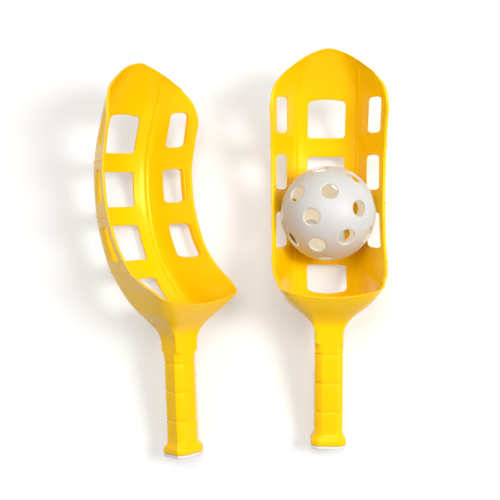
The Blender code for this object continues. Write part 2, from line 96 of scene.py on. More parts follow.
TIP_ARC = [(-14.4, 238.5), (0.0, 242.4), (14.4, 238.5), (23.8, 233.0), (35.4, 224.2),
           (42.6, 217.5), (48.5, 208.2), (50.4, 203.0), (51.6, 199.0)]
LIP_END = 45.0
TIP_START = 200.2
TIP_END = 242.4
# the point of the tip's arc, in X and distance, where the grid's last row meets the rim
TIP_CORNER = (42.6, 217.5)
# how far the side walls reach before they are trimmed: at the lip, along the trough, and the
# run between the two, with the rounding at their front
LIP_REACH = 85.2
WALL_REACH = 78.0
REACH_RUN = 30.0
OPEN_ROUNDING = 14.0
# the bowl's bottom: its distance, and the share of its width at each depth below that
BOWL_START = 14.0
BOWL_DISH = ((0.9, 0.8), (0.7, 1.6), (0.4, 2.2))
# where the handle's columns have turned into the body's, and the number of the rim on the neck
BLEND_END = 26.0
NECK_RIM = 2.75
# least wall inside between the last window and the rim, and the run over which the tip's rim
# turns from level to square with the wall
RIM_MARGIN = 1.2
RIM_EASE = 15.0

# windows: ends along the trough and edges across it, with their corners' radius and the run
# of the arched and the bowed end
WINDOW_CORNER = 3.0
WINDOW_BEND = 6.0
CENTRE_ROWS = ((67.6, 99.4), (116.6, 148.4), (165.6, 197.4))
CENTRE_HALF = 16.9
TOP_ARCH = 2.2
LOWER_ROW = (30.0, 51.0)
LOWER_HALF = 17.5
LOWER_BOW = 2.4
SIDE_ROWS = ((68.6, 99.4), (119.0, 149.8), (169.4, 200.2))
SIDE_INNER = 36.2
SIDE_OUTER = 45.2

# small raised details
RIB_ROWS = (59.0, 108.0, 157.0)
RIB_HALF = 0.9
RIB_HEIGHT = 0.8
RIB_SLOPE = 0.3
BEAD_X = 28.0
BEAD_HALF = 1.3
BEAD_HEIGHT = 0.8
BEAD_ROWS = (34.0, 225.0)
BEAD_FADE = 3.0

# edges of the walls: radius, and the angles of the points on each rounding
EDGE_ROUND = 0.6
EDGE_TURNS = (30, 60, 90)
SHARP_ANGLE = 40

# ball, and its rings of holes: how many, and their angle from the pole
BALL_RADIUS = 41.6
BALL_WALL = 2.2
BALL_HOLE = 14.4
HOLE_ROUND = 0.7
INNER_ROUND = 0.8
POLE_RING = (4, 36.5)
BELT_RING = (8, 70.0)
# its mesh: points round a hole, plain rings outside the rounding, and points over the rest
HOLE_STEPS = 40
OUTER_RINGS = (1.5, 2.7)
RING_MARGIN = 0.9
BALL_POINTS = 2600
BALL_SHARP_ANGLE = 60

# where things lie, as the CAD leaves them: X, Y, Z, then pitch, roll and heading
GROUND = (11.859, -159.496, 0.05)
RIGHT_PLACE = ((68.0, 0.0, 13.607), (17.201, 3.0, 0.0))
LEFT_PLACE = ((-56.8, -10.7, 16.788), (14.707, 48.6, 2.6))
BALL_PLACE = ((66.525, 196.022, 44.52), (2.5, 57.3, -102.0))

# camera, matched to the photo
CAMERA_PLACE = (77.688, -179.783, 867.706)
CAMERA_TURN = (12.6, 4.338, 1.455)
CAMERA_LENS = 69.63
CAMERA_SENSOR = 36
CAMERA_REACH = 20

# studio: lights by name, azimuth clockwise from the tips, elevation, size and power; the
# floor's lift is the white that it adds for the camera, and it grows with the distance
LIGHTS = (("key", 94, 50, 0.55, 16.0), ("side", 90, 45, 1.4, 5.0), ("left", 280, 40, 1.4, 4.0),
          ("far", 0, 45, 1.4, 3.5), ("overhead", 0, 81, 0.8, 9.5), ("near_left", 235, 40, 0.9, 1.6))
LIGHT_AIM = Vector((0, 0, 0.03))
LIGHT_DISTANCE = 1.6
LIGHT_COLOUR = (1.0, 0.99, 0.975)
WORLD_COLOUR = (1.0, 0.97, 0.93)
WORLD_STRENGTH = 0.18
FLOOR_SIZE = 12
FLOOR_COLOUR = (0.62, 0.62, 0.62)
FLOOR_LIFT = 0.33
FADE_START = 0.5
FADE_END = 1.6

# plastics: shades, gloss and how it varies, grain per metre and its depth in millimetres,
# tint of the shine, and the share of light that passes under the ball's skin
YELLOW = {"base": (0.97, 0.56, 0.0), "lighter": (0.99, 0.58, 0.0), "roughness": 0.25,
          "spread": 0.05, "grain": 500.0, "grain_depth": 0.012, "tint": (1.0, 0.8, 0.25)}
WHITE = {"base": (0.72, 0.71, 0.69), "lighter": (0.77, 0.76, 0.74), "roughness": 0.42,
         "spread": 0.06, "grain": 700.0, "grain_depth": 0.05, "tint": (1.0, 1.0, 1.0)}
BALL_WHITE = {"base": (0.57, 0.565, 0.555), "lighter": (0.60, 0.595, 0.585), "roughness": 0.45,
              "spread": 0.06, "grain": 600.0, "grain_depth": 0.04, "tint": (1.0, 1.0, 1.0),
              "through": 0.4}
DRIFT_SCALE = 14.0
GLOSS_SCALE = 55.0
THROUGH_REACH = (0.0016, 0.0015, 0.0014)
# painted glow on the ball's inside, in place of light through its wall: its colour, its strength,
# and how far in from the outside it starts
PAINTED_GLOW_COLOUR = (1.0, 0.8, 0.5)
PAINTED_GLOW_STRENGTH = 0.3
PAINTED_GLOW_MARGIN = 0.4

# columns of the grid across half a section
LOWER_COLUMNS = [0, 4.2, 8.4, 12.2, 13.8, 15.4, 16.9, 18.6, 22.0, 25.0, 26.6, 27.2, 28.0, 28.8,
                 29.4, 31.0, 33.0, 34.8, 36.2, 37.5, 38.8, 40.7, 42.6, 43.9, 45.2, 46.6, 48.0]
UPPER_COLUMNS = 15
FIXED_PART = 29.4
RIM_COLUMN = len(LOWER_COLUMNS)
LAST_COLUMN = RIM_COLUMN + UPPER_COLUMNS
LOW_CHAMFER = (12, 14)
HIGH_CHAMFER = (33, 35)

# rows of the grid: the widest step, the least gap to an extra row, and the extra rows
ROW_STEP = 3.2
ROW_GAP = 0.7
CORNER_ROWS = (1.1, 2.3)
START_ROWS = (1.5, 3.5)
# how far the rows follow a window's bent end, and the part of the tip that is eased
BEND_FADE = 8.0
CORNER_REACH = 8.0
CORNER_PASSES = 24
LIP_PASSES = 8
SOLVE_STEPS = 26
TINY = 0.01


def line_at(line, y):
    """Value of a line at y: a smooth curve through its points, straight past both ends."""
    if y <= line[0][0]:
        low, high = 0, 1
    elif y >= line[-1][0]:
        low, high = len(line) - 2, len(line) - 1
    else:
        high = next(i for i in range(1, len(line)) if y <= line[i][0])
        low = high - 1
    span = line[high][0] - line[low][0]
    t = (y - line[low][0]) / span
    values = []
    for k in range(1, len(line[0])):
        def slope(i):
            a = max(i - 1, 0)
            b = min(i + 1, len(line) - 1)
            return (line[b][k] - line[a][k]) / (line[b][0] - line[a][0])
        if 0 <= t <= 1:
            h00 = 2 * t ** 3 - 3 * t ** 2 + 1
            h10 = t ** 3 - 2 * t ** 2 + t
            h01 = 3 * t ** 2 - 2 * t ** 3
            h11 = t ** 3 - t ** 2
            values.append(h00 * line[low][k] + h10 * span * slope(low)
                          + h01 * line[high][k] + h11 * span * slope(high))
        else:
            values.append(line[low][k] + (line[high][k] - line[low][k]) * t)
    return values if len(values) > 1 else values[0]


def smooth_step(x):
    """0 up to x = 0, 1 from x = 1 on, and an S-shaped rise between."""
    x = min(1.0, max(0.0, x))
    return x * x * (3 - 2 * x)


class Section:
    """Half of one cross-section, read by a number that runs from 0 to 5 along it.

    0 to 1 is the floor, 1 to 2 the crease, 2 to 3 the wall, 3 to 4 the shoulder
    and 4 to 5 the front.
    """

    def __init__(self, back, crease, front, shoulder, low_cut, high_cut, curved):
        self.back = back
        self.front = front
        self.crease = Vector(crease)
        self.shoulder = Vector(shoulder)
        self.curved = curved
        floor_side = Vector((self.crease.x - 1,
                             self.crease.y - 2 * (self.crease.y - back) / self.crease.x))
        top_side = Vector((self.shoulder.x - 1,
                           self.shoulder.y + 2 * (front - self.shoulder.y) / self.shoulder.x))
        up = (self.shoulder - self.crease).normalized()
        self.low = (self.crease + (floor_side - self.crease).normalized() * low_cut[0],
                    self.crease + up * low_cut[1])
        self.high = (self.shoulder - up * high_cut[1],
                     self.shoulder + (top_side - self.shoulder).normalized() * high_cut[0])

    def corner(self, ends, middle, t):
        """Point on a corner: a curve drawn towards its middle, or a flat facet."""
        if self.curved:
            return ends[0] * (1 - t) ** 2 + middle * 2 * t * (1 - t) + ends[1] * t ** 2
        return ends[0].lerp(ends[1], t)

    def point(self, v):
        """Point of the half section at the number v."""
        if v <= 1:
            return Vector((self.low[0].x * v, self.back + (self.low[0].y - self.back) * v * v))
        if v <= 2:
            return self.corner(self.low, self.crease, v - 1)
        if v <= 3:
            return self.low[1].lerp(self.high[0], v - 2)
        if v <= 4:
            return self.corner(self.high, self.shoulder, v - 3)
        t = 5 - v
        return Vector((self.high[1].x * t, self.front + (self.high[1].y - self.front) * t * t))

    def inward(self, v):
        """Direction into the wall at the number v."""
        a = self.point(max(v - 0.02, 0))
        b = self.point(min(v + 0.02, 5))
        along = (b - a).normalized()
        return Vector((-along.y, along.x))


def body_section(s):
    """Section of the lofted body at the distance s from the handle's top end."""
    crease = line_at(CREASE_LINE, s)
    rounding = line_at(ROUNDING_LINE, s)
    if s <= SHOULDER_LINE[-1][0]:
        shoulder = Vector(line_at(SHOULDER_LINE, s))
    else:
        rim = Vector(line_at(RIM_LINE, s))
        share = min((s - SHOULDER_LINE[-1][0]) / REACH_RUN, 1)
        reach = LIP_REACH + (WALL_REACH - LIP_REACH) * share
        shoulder = Vector(crease) + (rim - Vector(crease)).normalized() * reach
    high = rounding if s < LIP_ARC[0][1] else max(rounding, OPEN_ROUNDING)
    return Section(line_at(BACK_LINE, s), crease, line_at(FRONT_LINE, s), shoulder,
                   (rounding, rounding), (high, high), True)


def handle_section(grow, across, deep):
    """The handle's octagon, grown by a distance, with its corners cut across and deep."""
    w = HALF_W + grow
    d = HALF_D + grow
    return Section(-d, (w, -d), d, (w, d), (across, deep), (across, deep), False)


def solve(function, target, low, high):
    """Where a rising function reaches the target, between low and high."""
    for _ in range(SOLVE_STEPS):
        middle = (low + high) / 2
        if function(middle) < target:
            low = middle
        else:
            high = middle
    return (low + high) / 2


def wall_share(s, v):
    """The wall's thickness in the section's plane: more where the surface slopes."""
    back = (line_at(BACK_LINE, s + 1) - line_at(BACK_LINE, s - 1)) / 2
    front = (line_at(FRONT_LINE, s + 1) - line_at(FRONT_LINE, s - 1)) / 2
    low = math.hypot(1, back)
    high = math.hypot(1, front) if s < LIP_END else 1.0
    if v < 2:
        return 1 + (low - 1) * (1 - max(0.0, v - 1))
    return 1 + (high - 1) * max(0.0, min(1.0, v - 3))


def bead_height(x, s):
    """Height of the floor's bead over the inside, 0 off the bead."""
    across = 1 - ((x - BEAD_X) / BEAD_HALF) ** 2
    if across <= 0:
        return 0.0
    along = smooth_step((s - BEAD_ROWS[0]) / BEAD_FADE)
    along *= smooth_step((BEAD_ROWS[1] - s) / BEAD_FADE)
    return BEAD_HEIGHT * math.sqrt(across) * along


class Body:
    """Outside and inside of the scoop, read at a distance s and a number v or a width x."""

    def __init__(self):
        self.cache = {}

    def section(self, s):
        key = round(s, 3)
        if key not in self.cache:
            self.cache[key] = body_section(key)
        return self.cache[key]

    def outer(self, s, v):
        p = self.section(s).point(v)
        return Vector((p.x, HANDLE_LENGTH + s, p.y))

    def inner(self, s, v, extra=0.0):
        section = self.section(s)
        p = section.point(v) + section.inward(v) * (WALL * wall_share(s, v) + extra)
        return Vector((p.x, HANDLE_LENGTH + s, p.y))

    def rim_v(self, s):
        height = line_at(RIM_LINE, s)[1]
        section = self.section(s)
        return solve(lambda v: section.point(v).y, height, 0.0, 4.0)

    def inner_rim_v(self, s):
        height = line_at(RIM_LINE, s)[1]
        cut = solve(lambda v: self.inner(s, v).z, height, 1.0, 3.6)
        return cut + (self.rim_v(s) - cut) * smooth_step((s - TIP_START) / RIM_EASE)

    def outer_v(self, s, x):
        section = self.section(s)
        return solve(lambda v: section.point(v).x, x, 0.0, 3.2)

    def inner_v(self, s, x):
        return solve(lambda v: self.inner(s, v).x, x, 0.0, 3.2)


def fill_rows(anchors, step):
    """Adds evenly spaced rows wherever two anchors are more than a step apart."""
    rows = [anchors[0]]
    for value in anchors[1:]:
        gap = value - rows[-1]
        count = max(1, math.ceil(gap / step - 0.05))
        start = rows[-1]
        rows += [start + gap * (i + 1) / count for i in range(count)]
    return rows


def body_rows():
    """Distances of the grid's rows along the body, and the index of the lip's row."""
    windows = (LOWER_ROW,) + CENTRE_ROWS + SIDE_ROWS
    anchors = {end for window in windows for end in window}
    for start, end in windows:
        for row in [start + a for a in CORNER_ROWS] + [end - a for a in reversed(CORNER_ROWS)]:
            if min(abs(row - a) for a in anchors) > ROW_GAP:
                anchors.add(row)
    for middle in RIB_ROWS:
        anchors.update((middle - RIB_HALF, middle - RIB_HALF + RIB_SLOPE,
                        middle + RIB_HALF - RIB_SLOPE, middle + RIB_HALF))
    anchors.update(START_ROWS)
    anchors.update((BOWL_START, BLEND_END, LIP_END, TIP_START, TIP_END))
    rows = fill_rows(sorted(anchors), ROW_STEP)
    return rows, rows.index(LIP_END)


def handle_rows():
    """Rows of the handle: distance from its end, and how far it grows out there."""
    rows = [(y, FLANGE_OUT + out) for y, out in FLANGE_END + ((FLANGE_STRAIGHT, 0.0),)]
    for i in range(1, FLARE_ROWS + 1):
        t = i / FLARE_ROWS
        rows.append((FLANGE_STRAIGHT + FLANGE_FLARE * t,
                     FLANGE_OUT * 0.5 * (1 + math.cos(math.pi * t))))
    for i in range(GROOVE_COUNT):
        middle = GROOVE_FIRST + GROOVE_PITCH * i
        rows += [(middle + GROOVE_HALF * t, -GROOVE_DEPTH * depth) for t, depth in GROOVE_SHAPE]
    arch = CHAMFER_TOP - CHAMFER_ARCH
    rows += [(arch + CHAMFER_ARCH * math.sin(math.radians(a)), 0.0)
             for a in ARCH_TURNS]
    rows += [(y, 0.0) for y in NECK_ROWS + (HANDLE_LENGTH,)]
    full = [rows[0]]
    for row in rows[1:]:
        gap = row[0] - full[-1][0]
        count = max(1, round(gap / HANDLE_STEP))
        start = full[-1]
        for i in range(count):
            t = (i + 1) / count
            full.append((start[0] + gap * t, start[1] + (row[1] - start[1]) * t))
    return full


def chamfer_share(y):
    """How much of the chamfer's width is left where its top end is arched."""
    t = (y - CHAMFER_TOP + CHAMFER_ARCH) / CHAMFER_ARCH
    return math.sqrt(max(0.0, 1 - max(0.0, t) ** 2))


def handle_v(j):
    """Number along the handle's section for a column."""
    stops = ((0, 0.0), (LOW_CHAMFER[0], 1.0), (LOW_CHAMFER[1], 2.0), (HIGH_CHAMFER[0], 3.0),
             (HIGH_CHAMFER[1], 4.0), (LAST_COLUMN, 5.0))
    for (a, va), (b, vb) in zip(stops, stops[1:]):
        if j <= b:
            return va + (vb - va) * (j - a) / (b - a)


def column_widths(rim):
    """X of the lower columns on a row whose rim is at X = rim."""
    widths = []
    fixed = min(FIXED_PART, 0.8 * rim)
    squeeze = min(1.0, (rim - 1.0 - fixed) / (LOWER_COLUMNS[-1] - FIXED_PART))
    for x in LOWER_COLUMNS:
        if x <= FIXED_PART:
            widths.append(x * fixed / FIXED_PART)
        else:
            widths.append(fixed + (x - FIXED_PART) * squeeze)
    return widths


def bent(window, x, s):
    """Moves a point of a window's straight outline on to its rounded one."""
    x0, x1, y0, y1, arch, bow = window
    middle = (x0 + x1) / 2
    half = (x1 - x0) / 2
    side = 1 if x > middle else -1
    from_side = half - abs(x - middle)
    top = s > (y0 + y1) / 2
    from_end = (y1 - s) if top else (s - y0)
    corner = WINDOW_CORNER
    if from_side < corner + TINY and from_end < corner + TINY:
        if from_side < from_end:
            angle = math.radians(45 * (1 - min(from_end / corner, 1)))
        else:
            angle = math.radians(90 - 45 * (1 - min(from_side / corner, 1)))
        x = middle + side * (half - corner + corner * math.cos(angle))
        lift = -corner + corner * math.sin(angle)
        s = (y1 + lift) if top else (y0 - lift)
    share = 1 - ((x - middle) / half) ** 2
    if top:
        s += arch * share * smooth_step(1 - (y1 - s) / WINDOW_BEND)
    else:
        s -= bow * share * smooth_step(1 - (s - y0) / WINDOW_BEND)
    return x, s


def window_cells(rows):
    """Windows as ranges of rows and columns, with their real outlines."""
    def row(value):
        return min(range(len(rows)), key=lambda k: abs(rows[k] - value))
    centre = LOWER_COLUMNS.index(CENTRE_HALF)
    inner = LOWER_COLUMNS.index(SIDE_INNER)
    outer = LOWER_COLUMNS.index(SIDE_OUTER)
    cells = []
    for i, (y0, y1) in enumerate(CENTRE_ROWS):
        arch = TOP_ARCH if i == len(CENTRE_ROWS) - 1 else 0.0
        cells.append((row(y0), row(y1), -centre, centre,
                      (-CENTRE_HALF, CENTRE_HALF, y0, y1, arch, 0.0)))
    y0, y1 = LOWER_ROW
    cells.append((row(y0), row(y1), -centre, centre,
                  (-LOWER_HALF, LOWER_HALF, y0, y1, 0.0, LOWER_BOW)))
    for y0, y1 in SIDE_ROWS:
        cells.append((row(y0), row(y1), inner, outer, (SIDE_INNER, SIDE_OUTER, y0, y1, 0.0, 0.0)))
    return cells


def side_distance(z):
    """Distance at which the rim, seen from the side, has come down to a height z."""
    start = RIM_LINE[0][0]
    return solve(lambda s: -line_at(RIM_LINE, s)[1], -z, start, LIP_END)


def lip_edges(body):
    """Distance at which each column of the front ends, so that the lip is trimmed to its arc."""
    edges = {}
    for j in range(RIM_COLUMN + 1, LAST_COLUMN + 1):
        v = body.rim_v(LIP_END)
        v += (5 - v) * (j - RIM_COLUMN) / UPPER_COLUMNS
        edge = LIP_END
        for _ in range(LIP_PASSES):
            p = body.outer(edge, v)
            edge = min(line_at(LIP_ARC, p.x), side_distance(p.z))
        edges[j] = edge
    return edges


def rim_numbers(body, s, rim_s):
    """Where the rim lies on the outside and on the inside of a section."""
    if s >= LIP_END:
        return body.rim_v(rim_s), body.inner_rim_v(rim_s)
    share = smooth_step((s - BLEND_END) / (LIP_END - BLEND_END))
    v = NECK_RIM + (body.rim_v(LIP_END) - NECK_RIM) * share
    return v, v


def inside_widths(widths, rim_x, inner_rim_x):
    """X of the lower columns on the inside: the last window edge stays clear of the rim."""
    inner = [min(x, inner_rim_x) for x in widths]
    last = LOWER_COLUMNS.index(SIDE_OUTER)
    start = widths[LOWER_COLUMNS.index(FIXED_PART)]
    limit = min(widths[last], inner_rim_x - RIM_MARGIN)
    for j, x in enumerate(widths):
        if j > last:
            t = (x - widths[last]) / (rim_x - widths[last])
            inner[j] = limit + (inner_rim_x - limit) * t
        elif widths[last] > limit and x > start:
            inner[j] = start + (x - start) * (limit - start) / (widths[last] - start)
    return inner


def row_layout(body, s, start_rim):
    """One row's rim, and the widths and distances of its lower columns.

    In the tip the rows turn, so that the last one follows the tip's arc.
    """
    tip_share = max(0.0, (s - TIP_START) / (TIP_END - TIP_START))
    rim_s = s
    if tip_share > 0:
        rim_s = TIP_START + (TIP_CORNER[1] - TIP_START) * tip_share
    rim_v, inner_rim_v = rim_numbers(body, s, rim_s)
    rim_x = body.outer(rim_s, rim_v).x
    inner_rim_x = body.inner(rim_s, inner_rim_v).x
    widths = column_widths(rim_x)
    places = [s] * len(widths)
    if tip_share > 0:
        narrowing = (start_rim - rim_x) / (start_rim - TIP_CORNER[0])
        for j, x in enumerate(column_widths(start_rim)):
            end_x = x * TIP_CORNER[0] / start_rim
            widths[j] = x + (end_x - x) * narrowing
            places[j] = TIP_START + (line_at(TIP_ARC, end_x) - TIP_START) * tip_share
    inner_widths = inside_widths(widths, rim_x, inner_rim_x)
    return rim_s, rim_v, inner_rim_v, list(zip(widths, places, inner_widths))


def on_window_edge(cells, k, j, s):
    """The rounded outline's X and distance for a grid point on a window's edge, or None."""
    place = None
    for k0, k1, j0, j1, window in cells:
        if k0 <= k <= k1 and j0 <= j <= j1 and (k in (k0, k1) or j in (j0, j1)):
            nominal = LOWER_COLUMNS[j]
            if window[1] == LOWER_HALF:
                nominal = nominal * LOWER_HALF / CENTRE_HALF
            place = bent(window, nominal, s)
    return place


def bend_beyond(x, s):
    """How far the rows past a window's bent end follow it."""
    if x >= CENTRE_HALF:
        return 0.0
    share = 1 - (x / CENTRE_HALF) ** 2
    past = s - CENTRE_ROWS[-1][1]
    before = LOWER_ROW[0] - s
    if past > TINY:
        return TOP_ARCH * share * smooth_step(1 - past / BEND_FADE)
    if before > TINY:
        return -LOWER_BOW * share * smooth_step(1 - before / BEND_FADE)
    return 0.0


def raise_ribs(body, rows, outside):
    """Lifts the rows of the ribs off the outside."""
    for k, s in enumerate(rows):
        if any(abs(s - middle) <= RIB_HALF - RIB_SLOPE + TINY for middle in RIB_ROWS):
            for j in range(RIM_COLUMN + 1):
                v = body.outer_v(s, outside[k, j].x)
                out = -body.section(s).inward(v)
                outside[k, j] = outside[k, j] + Vector((out.x, 0, out.y)) * RIB_HEIGHT


def body_grid(body, rows, lip, cells):
    """Outside and inside points of half the body, by row and column."""
    outside = {}
    inside = {}
    lip_edge = lip_edges(body)
    start_rim = body.outer(TIP_START, body.rim_v(TIP_START)).x
    for k, s in enumerate(rows):
        blend = smooth_step(s / BLEND_END)
        hollow = s >= BOWL_START - TINY
        rim_s, rim_v, inner_rim_v, lower = row_layout(body, s, start_rim)
        for j, (x, row_s, inner_x) in enumerate(lower):
            place = on_window_edge(cells, k, j, s)
            if place:
                x, row_s = place
                inner_x = x
            row_s += bend_beyond(x, s)
            v = handle_v(j) + (body.outer_v(row_s, x) - handle_v(j)) * blend
            outside[k, j] = body.outer(row_s, v)
            if hollow:
                inner_v = v + (body.inner_v(row_s, inner_x) - v) * blend
                inside[k, j] = body.inner(row_s, inner_v, bead_height(LOWER_COLUMNS[j], row_s))
        v = handle_v(RIM_COLUMN) * (1 - blend) + rim_v * blend
        outside[k, RIM_COLUMN] = body.outer(rim_s, v)
        if hollow:
            v = handle_v(RIM_COLUMN) * (1 - blend) + inner_rim_v * blend
            inside[k, RIM_COLUMN] = body.inner(rim_s, v)
        if k > lip:
            continue
        for j in range(RIM_COLUMN + 1, LAST_COLUMN + 1):
            share = (j - RIM_COLUMN) / UPPER_COLUMNS
            v = handle_v(j) * (1 - blend) + (rim_v + (5 - rim_v) * share) * blend
            trim = max(0.0, s - BOWL_START) / (LIP_END - BOWL_START)
            row_s = s + (lip_edge[j] - LIP_END) * trim
            outside[k, j] = body.outer(row_s, v)
            if hollow:
                inside[k, j] = body.inner(row_s, v)
    raise_ribs(body, rows, outside)
    return outside, inside


def grid_columns(closed):
    """Columns of a row over both halves: all round, or from rim to rim."""
    if closed:
        return range(-LAST_COLUMN + 1, LAST_COLUMN + 1)
    return range(-RIM_COLUMN, RIM_COLUMN + 1)


def mirrored(p, j):
    """A point of the half section, on the side of its column."""
    return Vector((-p.x if j < 0 else p.x, p.y, p.z))


def new_ring(bm, points):
    """New vertices in metres, by column."""
    return {j: bm.verts.new(p * MM) for j, p in points.items()}


def fill_strip(bm, low, high, closed, inward, skipped=()):
    """Faces between two rows: quads, and a triangle where the next row is shorter."""
    last = LAST_COLUMN if closed else RIM_COLUMN
    for j in range(-last, last):
        if j in skipped:
            continue
        a = j if j in low else LAST_COLUMN
        b = j + 1
        corners = [low[a], low[b]] + [high[c] for c in (b, a) if c in high]
        bm.faces.new(corners if inward else corners[::-1])


def window_columns(cells, k):
    """Columns whose quads after row k lie in a window, on both halves."""
    found = set()
    for k0, k1, j0, j1, _ in cells:
        if k0 <= k < k1:
            found.update(range(j0, j1))
            if j0 > 0:
                found.update(range(-j1, -j0))
    return found


def handle_rings(bm):
    """Rings of the handle, up to the row where the body starts."""
    rings = []
    for y, grow in handle_rows()[:-1]:
        share = chamfer_share(y)
        section = handle_section(grow, NECK_EDGE + (CHAMFER_ACROSS - NECK_EDGE) * share,
                                 NECK_EDGE + (CHAMFER_DEEP - NECK_EDGE) * share)
        points = {}
        for j in grid_columns(True):
            p = section.point(handle_v(abs(j)))
            points[j] = mirrored(Vector((p.x, y, p.y)), j)
        rings.append(new_ring(bm, points))
    return rings


def close_bowl(bm, first_ring):
    """Dished bottom of the bowl, over the handle."""
    order = list(grid_columns(True))
    middle = sum((v.co for v in first_ring.values()), Vector()) / len(order)
    last_ring = first_ring
    for share, drop in BOWL_DISH:
        points = {j: middle.lerp(first_ring[j].co, share) / MM - Vector((0, drop, 0))
                  for j in order}
        ring = new_ring(bm, points)
        fill_strip(bm, ring, last_ring, True, True)
        last_ring = ring
    bm.faces.new([last_ring[j] for j in order][::-1])


def edge_steps(bm, partner):
    """For each point on the edge of the outside, the next point along that edge."""
    following = {}
    for edge in bm.edges:
        if not edge.is_boundary or any(v not in partner for v in edge.verts):
            continue
        a, b = edge.verts
        around = list(edge.link_faces[0].verts)
        if around[(around.index(a) + 1) % len(around)] == b:
            a, b = b, a
        following[a] = b
    return following


def ease_tip_corners(bm, following, partner):
    """Spreads the grid's points out where the tip's last row meets the rim."""
    edge_points = set(following) | {partner[v] for v in following}
    low, high = TIP_CORNER[0] - CORNER_REACH, TIP_CORNER[0] + CORNER_REACH
    start = HANDLE_LENGTH + TIP_CORNER[1] - 2 * CORNER_REACH
    corner = [v for v in bm.verts if v not in edge_points
              and low < abs(v.co.x) / MM < high and v.co.y / MM > start]
    for _ in range(CORNER_PASSES):
        bmesh.ops.smooth_vert(bm, verts=corner, factor=0.5, use_axis_x=True, use_axis_y=True,
                              use_axis_z=True)


def round_rims(bm, following, partner):
    """Closes the wall's edges: a rounding on each side and a flat between them."""
    preceding = {b: a for a, b in following.items()}
    radius = EDGE_ROUND * MM
    profiles = {}
    places = {}
    for a, b in following.items():
        along = (b.co - preceding[a].co).normalized()
        across = (partner[a].co - a.co).normalized()
        away = along.cross(across).normalized()
        outer_start = a.co - away * radius
        inner_start = partner[a].co - away * radius
        offsets = [(away * radius * math.sin(t), across * radius * (1 - math.cos(t)))
                   for t in (math.radians(angle) for angle in EDGE_TURNS)]
        points = [outer_start + out + along_wall for out, along_wall in offsets]
        points += [inner_start + out - along_wall for out, along_wall in offsets[::-1]]
        profiles[a] = [a] + [bm.verts.new(p) for p in points] + [partner[a]]
        places[a] = outer_start
        places[partner[a]] = inner_start
    for vert, place in places.items():
        vert.co = place
    for a, b in following.items():
        near, far = profiles[a], profiles[b]
        for i in range(len(near) - 1):
            bm.faces.new((near[i], far[i], far[i + 1], near[i + 1]))


def round_handle(bm):
    """Softens the long edges between the handle's facets."""
    end = (CHAMFER_TOP - CHAMFER_ARCH - 1) * MM
    facets = [e for e in bm.edges
              if len(e.link_faces) == 2 and all(v.co.y < end for v in e.verts)
              and abs(e.verts[0].co.y - e.verts[1].co.y) > 0.9 * e.calc_length()
              and e.calc_face_angle() > FACET_ANGLE]
    bmesh.ops.bevel(bm, geom=facets, offset=HANDLE_ROUND * MM, segments=2, profile=0.5,
                    affect="EDGES", clamp_overlap=False)


def build_scoop_mesh():
    """The scoop as one closed mesh: a grid of quads outside, one inside, and their edges."""
    rows, lip = body_rows()
    cells = window_cells(rows)
    outside, inside = body_grid(Body(), rows, lip, cells)
    bm = bmesh.new()
    handle = handle_rings(bm)

    def grid_ring(table, k):
        span = grid_columns(k <= lip)
        if k == len(rows) - 1:
            span = span[1:-1]
        return new_ring(bm, {j: mirrored(table[k, abs(j)], j) for j in span})

    outer_rings = [grid_ring(outside, k) for k in range(len(rows))]
    inner_rings = {k: grid_ring(inside, k) for k in range(len(rows)) if (k, 0) in inside}
    rings = handle + outer_rings
    for low, high in zip(handle, rings[1:]):
        fill_strip(bm, low, high, True, False)
    for k in range(len(rows) - 1):
        fill_strip(bm, outer_rings[k], outer_rings[k + 1], k < lip, False,
                   window_columns(cells, k))
    start = min(inner_rings)
    for k in range(start, len(rows) - 1):
        fill_strip(bm, inner_rings[k], inner_rings[k + 1], k < lip, True,
                   window_columns(cells, k))
    bm.faces.new([handle[0][j] for j in grid_columns(True)])
    close_bowl(bm, inner_rings[start])

    partner = {outer_rings[k][j]: vert for k, ring in inner_rings.items()
               for j, vert in ring.items()}
    following = edge_steps(bm, partner)
    ease_tip_corners(bm, following, partner)
    round_rims(bm, following, partner)
    remove_loose(bm)
    bm.normal_update()
    round_handle(bm)
    return finished_mesh(bm, "scoop", SHARP_ANGLE)


def remove_loose(bm):
    """Drops the grid points that only windows had."""
    for v in [v for v in bm.verts if not v.link_faces]:
        bm.verts.remove(v)


def finished_mesh(bm, name, angle):
    """Mesh data with smooth faces, and sharp edges past an angle in degrees."""
    bm.normal_update()
    mesh = bpy.data.meshes.new(name)
    bm.to_mesh(mesh)
    bm.free()
    for polygon in mesh.polygons:
        polygon.use_smooth = True
    mesh.set_sharp_from_angle(angle=math.radians(angle))
    return mesh


def build_cap_mesh():
    """End cap: a plate with softened edges over the flange, and its plug."""
    grow = FLANGE_OUT - CAP_INSET
    top = -FIT_GAP
    low = top - CAP_THICKNESS
    plug = -WALL - FIT_GAP
    plug_cut = (CHAMFER_ACROSS - WALL * PLUG_CUT, CHAMFER_DEEP - WALL * PLUG_CUT)
    plate_cut = (CHAMFER_ACROSS, CHAMFER_DEEP)
    profile = [(low + up, grow - inset, plate_cut) for up, inset in CAP_FRONT]
    profile += [(top - down, grow - inset, plate_cut) for down, inset in CAP_BACK]
    profile += [(top, plug, plug_cut), (PLUG_DEPTH, plug, plug_cut)]
    bm = bmesh.new()
    rings = []
    for y, border, cut in profile:
        section = handle_section(border, *cut)
        points = {}
        for j in grid_columns(True):
            p = section.point(handle_v(abs(j)))
            points[j] = mirrored(Vector((p.x, y, p.y)), j)
        rings.append(list(new_ring(bm, points).values()))
    count = len(rings[0])
    for a, b in zip(rings, rings[1:]):
        for j in range(count):
            bm.faces.new((a[j], a[(j + 1) % count], b[(j + 1) % count], b[j]))
    bm.faces.new(rings[0][::-1])
    bm.faces.new(rings[-1])
    bmesh.ops.recalc_face_normals(bm, faces=bm.faces)
    return finished_mesh(bm, "end_cap", SHARP_ANGLE)


